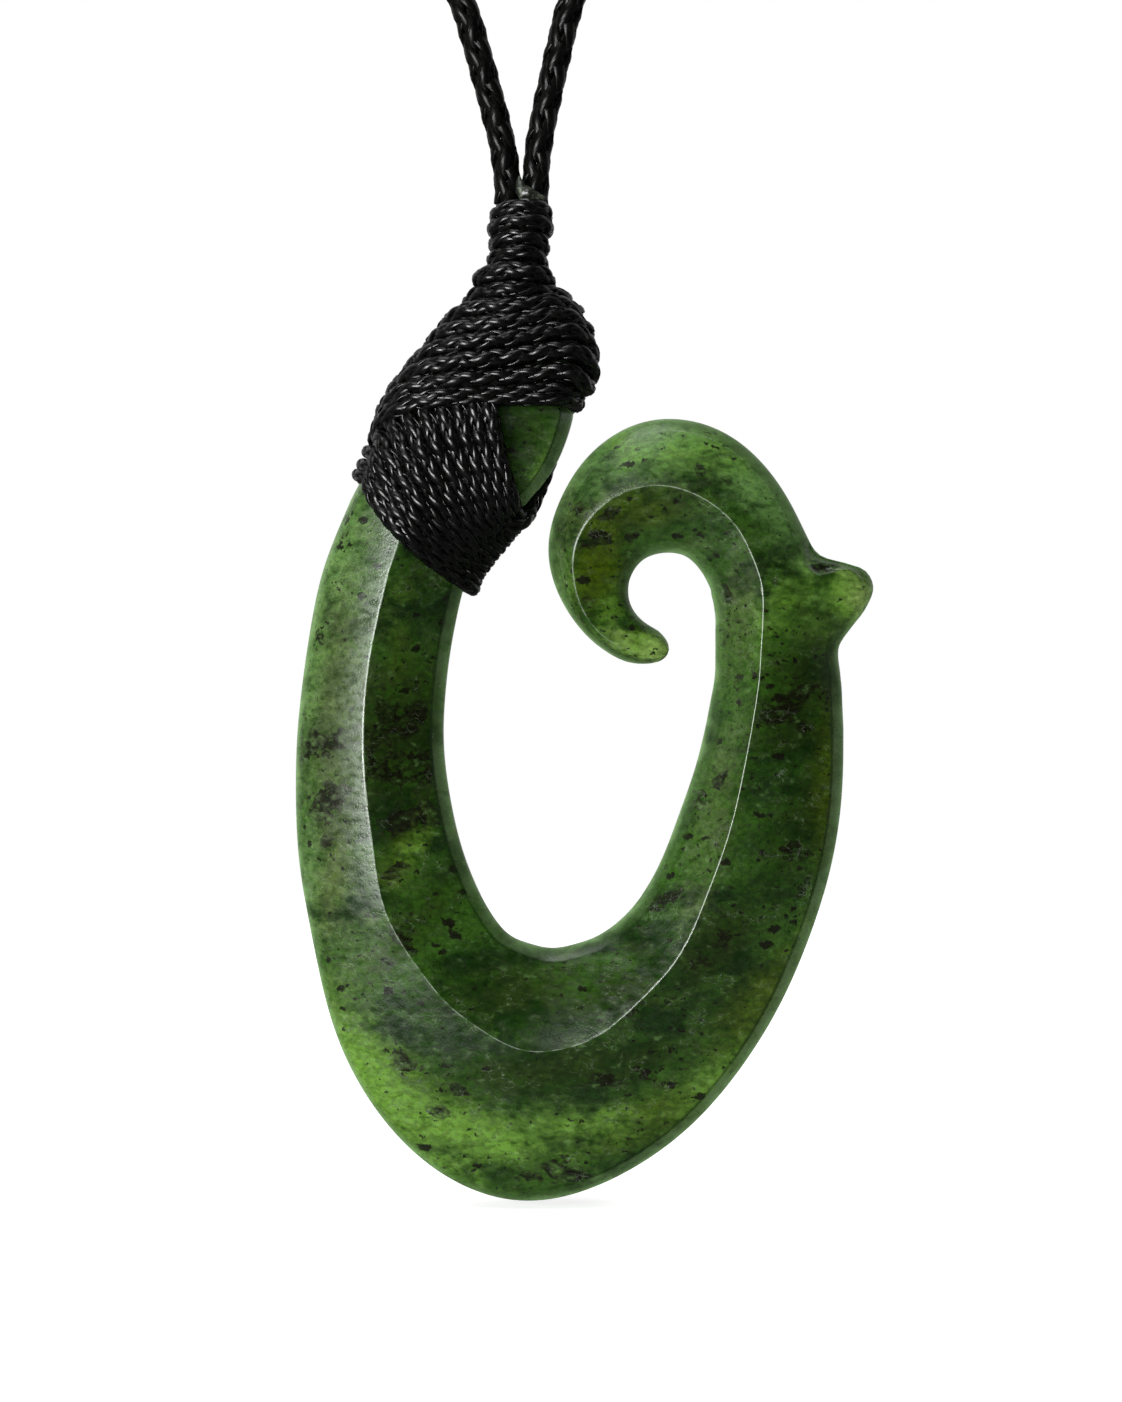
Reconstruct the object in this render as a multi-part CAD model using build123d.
from build123d import *
import os
from collections import namedtuple
from math import pi, radians, sqrt, tan

# A carved stone fish hook on a plaited neck cord. Millimetres, Z up, front face towards -Y.
# The origin is the underside of the closure at the nape, where the loop hangs.

# Stone
hook_width = 46.1
hook_height = 73.2
stone_thickness = 7.6
rim_thickness = 1.7
rim_bevel = 1.0
narrow_bevel = 0.22         # the bevel is never more than this share of the stone's width
low_rim = 0.6               # and the rim never higher than this share of the crest
hang_share = 0.39           # share of the hook's width that lies left of the cord

# Thread and cord
thread_diameter = 1.25
turn_gap = 0.12             # between one turn of thread and the next
seat_gap = 0.12             # between a turn of thread and what it is wound on
turn_radius = 1.5           # bend of the thread round an edge of the stone
tight_bend = 0.9            # and at most this share of the thread's height over that edge
hairpin_drop = 1.3          # how far below the last head turn hairpins start, in threads
neck_spread = 1.1           # the turns on the neck lie this much looser than the others
cord_diameter = 2.0
cord_gap = 0.15             # between the two cord ends, side by side

# Binding above the stone, round the squeezed cord tails
neck_length = 6.5
neck_width = 2.3
neck_depth = 3.3
neck_foot = 3.5             # width and depth of the tails where they meet the stone
neck_flare = 0.8            # height over which the two cords are squeezed together
core_rounding = 0.45        # corner radius of the squeezed tails, as a share of their narrower side

# Closure
slide_length = 24.0
slide_diameter = 4.7
slide_clearance = 0.12
slide_rounding = 0.7

# Centre line of the neck cord, as (x, z): up from the binding, round the nape and back.
cord_route = [
    (-1.08, -131.2), (-1.08, -128.2), (-2.5, -122.6), (-5.4, -112.4), (-14.0, -99.2),
    (-31.0, -86.7), (-51.0, -75.7), (-67.0, -61.7), (-73.0, -42.7), (-66.5, -22.7),
    (-50.0, -7.7), (-28.0, 0.2), (0.0, 3.0), (28.0, 0.0), (50.0, -7.9),
    (66.5, -23.2), (72.5, -43.2), (66.0, -62.2), (49.5, -76.2), (29.5, -86.7),
    (13.0, -98.7), (4.6, -112.0), (2.2, -122.3), (1.08, -128.0), (1.08, -131.2),
]
run_share = 0.45            # share of the shorter run that each bend takes up

# Cross sections of the stone, from the top of the head round to the tip of the curl.
# Edge points are shares of the hook's width and height, from its lower left corner.
# crest_at is the crest's place across the section, from the outer edge to the inner one.
# crest is its height, as a share of half the thickness, and shoulder is how far the rim's
# bevel climbs from the rim to the crest.
Station = namedtuple(
    "Station", "outer_x outer_z inner_x inner_z crest_at crest shoulder"
)

shank_and_bowl = [
    Station(0.352, 1.000, 0.406, 1.000, 0.50, 0.45, 0.40),
    Station(0.300, 0.976, 0.457, 0.977, 0.45, 0.58, 0.45),
    Station(0.259, 0.944, 0.488, 0.944, 0.38, 0.68, 0.50),
    Station(0.214, 0.909, 0.495, 0.909, 0.32, 0.74, 0.55),
    Station(0.172, 0.873, 0.486, 0.875, 0.28, 0.78, 0.57),
    Station(0.144, 0.832, 0.470, 0.834, 0.29, 0.80, 0.57),
    Station(0.120, 0.795, 0.444, 0.797, 0.31, 0.83, 0.52),
    Station(0.093, 0.762, 0.402, 0.763, 0.35, 0.87, 0.42),
    Station(0.064, 0.718, 0.337, 0.718, 0.43, 0.93, 0.28),
    Station(0.043, 0.682, 0.295, 0.681, 0.47, 0.97, 0.20),
    Station(0.028, 0.635, 0.278, 0.637, 0.47, 1.00, 0.17),
    Station(0.014, 0.580, 0.262, 0.580, 0.46, 1.00, 0.17),
    Station(0.000, 0.491, 0.255, 0.493, 0.47, 1.00, 0.17),
    Station(0.003, 0.381, 0.278, 0.403, 0.48, 1.00, 0.17),
    Station(0.024, 0.299, 0.311, 0.343, 0.46, 1.00, 0.17),
    Station(0.060, 0.199, 0.352, 0.299, 0.54, 1.00, 0.17),
    Station(0.106, 0.131, 0.380, 0.285, 0.57, 1.00, 0.17),
    Station(0.198, 0.052, 0.408, 0.279, 0.60, 1.00, 0.17),
    Station(0.330, 0.005, 0.432, 0.275, 0.60, 1.00, 0.17),
    Station(0.444, 0.000, 0.457, 0.275, 0.61, 1.00, 0.17),
    Station(0.583, 0.035, 0.488, 0.280, 0.61, 1.00, 0.17),
    Station(0.700, 0.091, 0.526, 0.289, 0.64, 1.00, 0.17),
    Station(0.809, 0.180, 0.578, 0.315, 0.645, 1.00, 0.17),
    Station(0.887, 0.284, 0.627, 0.362, 0.68, 1.00, 0.17),
    Station(0.929, 0.371, 0.661, 0.416, 0.68, 1.00, 0.17),
    Station(0.948, 0.466, 0.698, 0.484, 0.69, 0.98, 0.17),
    Station(0.946, 0.545, 0.719, 0.546, 0.67, 0.95, 0.17),
    Station(0.943, 0.572, 0.726, 0.572, 0.66, 0.93, 0.18),
    Station(0.939, 0.595, 0.727, 0.595, 0.65, 0.92, 0.18),
]
barb = [
    shank_and_bowl[-1],
    Station(0.943, 0.608, 0.727, 0.607, 0.65, 0.91, 0.18),
    Station(0.962, 0.625, 0.727, 0.622, 0.67, 0.90, 0.18),
    Station(0.986, 0.645, 0.727, 0.635, 0.70, 0.90, 0.18),
    Station(1.000, 0.668, 0.724, 0.650, 0.70, 0.89, 0.18),
    Station(0.986, 0.687, 0.720, 0.661, 0.69, 0.88, 0.18),
    Station(0.953, 0.695, 0.719, 0.666, 0.65, 0.87, 0.18),
    Station(0.905, 0.705, 0.715, 0.672, 0.57, 0.86, 0.18),
]
curl = [
    barb[-1],
    Station(0.878, 0.733, 0.705, 0.684, 0.55, 0.84, 0.20),
    Station(0.845, 0.773, 0.691, 0.695, 0.53, 0.82, 0.20),
    Station(0.783, 0.820, 0.672, 0.704, 0.55, 0.80, 0.20),
    Station(0.694, 0.849, 0.644, 0.707, 0.53, 0.78, 0.20),
    Station(0.595, 0.848, 0.616, 0.704, 0.49, 0.76, 0.20),
    Station(0.509, 0.814, 0.595, 0.696, 0.43, 0.73, 0.20),
    Station(0.457, 0.763, 0.580, 0.682, 0.35, 0.70, 0.20),
    Station(0.438, 0.720, 0.575, 0.668, 0.31, 0.66, 0.22),
    Station(0.443, 0.682, 0.578, 0.651, 0.29, 0.60, 0.25),
    Station(0.465, 0.649, 0.592, 0.637, 0.23, 0.54, 0.28),
    Station(0.502, 0.617, 0.609, 0.628, 0.20, 0.48, 0.32),
    Station(0.547, 0.595, 0.627, 0.621, 0.25, 0.42, 0.36),
    Station(0.595, 0.586, 0.641, 0.612, 0.35, 0.34, 0.40),
    Station(0.630, 0.588, 0.644, 0.602, 0.50, 0.25, 0.40),
]

# Turns of thread. The turns over the head, and the whole turns below them, are given by the
# height at which they meet the outer and the inner edge, as shares of the hook's height. The
# turns on the neck are given as shares of its length, from the top down.
Turns = namedtuple("Turns", "first_outer first_inner last_outer last_inner")
head_turns = Turns(0.981, 0.985, 0.8415, 0.871)
whole_turns = Turns(0.813, 0.684, 0.792, 0.663)
neck_turns = Turns(0.300, 0.235, 0.930, 0.935)

# Hairpins of thread from under the last head turn round the edge of the notch: how far along
# that turn each one starts, and the height of its foot on the edge.
Hairpin = namedtuple("Hairpin", "start foot_z")
hairpins = [Hairpin(0.11, 0.7005), Hairpin(0.28, 0.717), Hairpin(0.44, 0.732), Hairpin(0.59, 0.7475)]

# The squeezed tails inside the neck binding, as shares of the bound length from the top.
cords_width = 2 * cord_diameter + 2 * cord_gap
NeckSlice = namedtuple("NeckSlice", "share width depth")
bound_tails = [
    NeckSlice(0.00, cords_width, cord_diameter + cord_gap),
    NeckSlice(neck_flare / neck_length, neck_width, neck_depth),
    NeckSlice(0.84, neck_width, neck_depth),
    NeckSlice(0.93, neck_foot, neck_foot),
    NeckSlice(1.00, neck_foot, neck_foot),
]

neck_top = cord_route[0][1]
stone_top = neck_top - neck_length
half_thickness = stone_thickness / 2
thread_radius = thread_diameter / 2
thread_reach = thread_radius + seat_gap     # from a seat to the middle of the thread
pitch = thread_diameter + turn_gap
front = Vector(0, -1, 0)
fine_steps = 8              # points along a smooth edge for each of its stations
touch_steps = 12            # points each side where a thread is tried against an edge


def between(low, high, share):
    return low + (high - low) * share


def evenly(first, last, count):
    """A row of values from first to last, or first alone."""
    steps = max(count - 1, 1)
    return [between(first, last, step / steps) for step in range(count)]


def place(x_share, z_share):
    """A point of the hook's outline from its shares of width and height."""
    x = (x_share - hang_share) * hook_width
    return Vector(x, 0, stone_top - (1 - z_share) * hook_height)


def crest_height(station):
    return station.crest * half_thickness


def rim_height(station):
    return min(rim_thickness / 2, low_rim * crest_height(station))


def shoulder_height(station):
    return between(rim_height(station), crest_height(station), station.shoulder)


def section(station):
    """One ten-sided slice of the stone: rim, bevel, crest, bevel, rim, and the same behind."""
    outer = place(station.outer_x, station.outer_z)
    inner = place(station.inner_x, station.inner_z)
    across = inner - outer
    bevel = min(rim_bevel / across.length, narrow_bevel)
    profile = [
        (0, rim_height(station)),
        (bevel, shoulder_height(station)),
        (station.crest_at, crest_height(station)),
        (1 - bevel, shoulder_height(station)),
        (1, rim_height(station)),
    ]
    face_side = [outer + across * share + front * height for share, height in profile]
    back_side = [outer + across * share - front * height for share, height in profile]
    return Face(Wire.make_polygon(face_side + back_side[::-1]))


def carve_stone():
    """The stone is one piece: shank and bowl, barb, and curl."""
    stretches = [shank_and_bowl, barb, curl]
    return Solid.fuse(*[loft([section(s) for s in rows]).solid() for rows in stretches])


def edge_through(points):
    """Close points along the smooth edge of the stone that passes through its stations."""
    curve = Spline(*points)
    steps = fine_steps * len(points)
    return [curve @ (step / steps) for step in range(steps + 1)]


outer_edge = edge_through([place(s.outer_x, s.outer_z) for s in shank_and_bowl])
inner_edge = edge_through([place(s.inner_x, s.inner_z) for s in shank_and_bowl])


def edge_x(edge, z):
    """Where an edge of the shank, listed from its top down, lies at height z."""
    for upper, lower in zip(edge, edge[1:]):
        if lower.Z <= z:
            break
    return between(upper.X, lower.X, (z - upper.Z) / (lower.Z - upper.Z))


def rest_on(edge, side, z_share):
    """The middle of a thread that lies against an edge of the shank, seen from the front."""
    z = place(0, z_share).Z
    reaches = []
    for step in range(-touch_steps, touch_steps + 1):
        rise = thread_reach * step / touch_steps
        reaches.append(side * edge_x(edge, z + rise) + sqrt(thread_reach**2 - rise**2))
    return Vector(side * max(reaches), 0, z)


def on_outer(z_share):
    return rest_on(outer_edge, -1, z_share)


def on_inner(z_share):
    return rest_on(inner_edge, 1, z_share)


def depths_between(top_z, low_z):
    """How far in front the thread runs over crest and shoulder on a stretch of the shank."""
    margin = 2 * thread_diameter
    near = [
        s for s in shank_and_bowl
        if low_z - margin <= place(0, s.outer_z).Z <= top_z + margin
    ]
    crest = max(crest_height(s) for s in near) + thread_reach
    shoulder = max(shoulder_height(s) for s in near) + thread_reach
    return crest, shoulder, sum(s.crest_at for s in near) / len(near)


def standing_plane(start, end):
    """A plane through start and end that stands square to the front, with x from start to end."""
    along = (end - start).normalized()
    return Plane(origin=start, x_dir=along, z_dir=along.cross(front))


def thread_along(path):
    start = Plane(origin=path @ 0, z_dir=path % 0)
    return sweep(start * Circle(thread_radius), path=path).solid()


def wind_turn(outer_share, inner_share):
    """One closed turn round the shank, over both crests and round both edges."""
    left = on_outer(outer_share)
    right = on_inner(inner_share)
    crest, shoulder, crest_at = depths_between(max(left.Z, right.Z), min(left.Z, right.Z))
    span = (right - left).length
    middle = span * crest_at
    corners = [
        (0, shoulder), (middle, crest), (span, shoulder),
        (span, -shoulder), (middle, -crest), (0, -shoulder),
    ]
    bend = min(turn_radius, tight_bend * shoulder)
    path = FilletPolyline(*corners, radius=bend, close=True)
    return thread_along(standing_plane(left, right) * path)


def wind_head():
    count = int((head_turns.first_inner - head_turns.last_inner) * hook_height / pitch) + 1
    outers = evenly(head_turns.first_outer, head_turns.last_outer, count)
    inners = evenly(head_turns.first_inner, head_turns.last_inner, count)
    return [wind_turn(outer, inner) for outer, inner in zip(outers, inners)]


def bend_hairpin(start, foot_z):
    """A strand from under the last head turn, round the edge of the notch and up the back."""
    left = on_outer(head_turns.last_outer)
    right = on_inner(head_turns.last_inner)
    top = left + (right - left) * start - Vector(0, 0, hairpin_drop * thread_diameter)
    foot = on_inner(foot_z)
    crest, shoulder, _ = depths_between(top.Z, foot.Z)
    span = (foot - top).length
    corners = [(0, crest), (span, shoulder), (span, -shoulder), (0, -crest)]
    path = FilletPolyline(*corners, radius=min(turn_radius, tight_bend * shoulder))
    return thread_along(standing_plane(top, foot) * path)


def lash_notch():
    whole = [
        wind_turn(whole_turns.first_outer, whole_turns.first_inner),
        wind_turn(whole_turns.last_outer, whole_turns.last_inner),
    ]
    return whole + [bend_hairpin(*hairpin) for hairpin in hairpins]


def neck_height(share):
    return neck_top - share * neck_length


def bind_tails():
    """The squeezed tails: two cords side by side at the top, one oval foot at the stone."""
    slices = []
    for share, width, depth in bound_tails:
        z = neck_height(share) + seat_gap * (share == 1)
        corner = core_rounding * min(width, depth)
        slices.append(Plane((0, 0, z)) * RectangleRounded(width, depth, corner))
    return loft(slices, ruled=True).solid()


def tails_size(share):
    """Width and depth of the bound tails where a turn of thread crosses them."""
    reach = 0.5 * pitch / neck_length
    near = [s for s in bound_tails if s.share <= share + reach]
    return near[-1].width, near[-1].depth


def wind_neck():
    count = int(neck_length / (neck_spread * pitch))
    turns = []
    outers = evenly(neck_turns.first_outer, neck_turns.last_outer, count)
    inners = evenly(neck_turns.first_inner, neck_turns.last_inner, count)
    for outer, inner in zip(outers, inners):
        width, depth = tails_size(inner)
        half_width = width / 2 + thread_reach
        half_depth = depth / 2 + thread_reach
        left = Vector(-half_width, 0, neck_height(outer))
        right = Vector(half_width, 0, neck_height(inner))
        span = (right - left).length
        corners = [(0, half_depth), (span, half_depth), (span, -half_depth), (0, -half_depth)]
        bend = min(turn_radius, tight_bend * half_width, tight_bend * half_depth)
        path = FilletPolyline(*corners, radius=bend, close=True)
        turns.append(thread_along(standing_plane(left, right) * path))
    return turns


def lay_cord():
    """The cord's centre line: straight runs joined by arcs as large as the runs allow."""
    points = [Vector(x, 0, z) for x, z in cord_route]
    runs = [after - before for before, after in zip(points, points[1:])]
    bends = []
    for before, after in zip(runs, runs[1:]):
        half_turn = radians(before.get_angle(after)) / 2
        bends.append(run_share * min(before.length, after.length) / tan(half_turn))
    return FilletPolyline(*points, radius=bends), bends


def draw_cord(path):
    start = Plane(origin=path @ 0, z_dir=path % 0)
    return sweep(start * Circle(cord_diameter / 2), path=path).solid()


def make_slide(path):
    """A plain sleeve over the cord at the nape, bent along the cord, with rounded ends."""
    nape_x, nape_z = max(cord_route, key=lambda point: point[1])
    arc = path.edges().sort_by_distance((nape_x, 0, nape_z))[0]
    middle = Plane(origin=arc @ 0.5, z_dir=arc % 0.5)
    ring = middle * (Circle(slide_diameter / 2) - Circle(cord_diameter / 2 + slide_clearance))
    centre = Axis(arc.arc_center, (0, 1, 0))
    turn = slide_length / arc.radius * 180 / pi
    sleeve = revolve(ring.rotate(centre, -turn / 2), axis=centre, revolution_arc=turn)
    ends = sleeve.edges().filter_by(GeomType.CIRCLE).filter_by(
        lambda rim: abs(rim.radius - slide_diameter / 2) < slide_clearance
    )
    return fillet(ends, slide_rounding).solid()


cord_path, cord_bends = lay_cord()
pieces = {
    "stone_hook": [carve_stone()],
    "bound_core": [bind_tails()],
    "neck_binding": wind_neck(),
    "head_whipping": wind_head(),
    "notch_lashing": lash_notch(),
    "neck_cord": [draw_cord(cord_path)],
    "nape_slide": [make_slide(cord_path)],
}

os.makedirs("parts", exist_ok=True)
for name, solids in pieces.items():
    shape = solids[0] if len(solids) == 1 else Compound(solids)
    export_step(shape, f"parts/{name}.step")
    print(name, len(solids), round(shape.volume, 2), shape.is_valid)

print("cord bends", [round(bend, 1) for bend in cord_bends])
print("cord length", round(cord_path.length, 2))
plain_volume = pi * cord_diameter**2 / 4 * cord_path.length
print("cord volume over section times length", pieces["neck_cord"][0].volume / plain_volume)
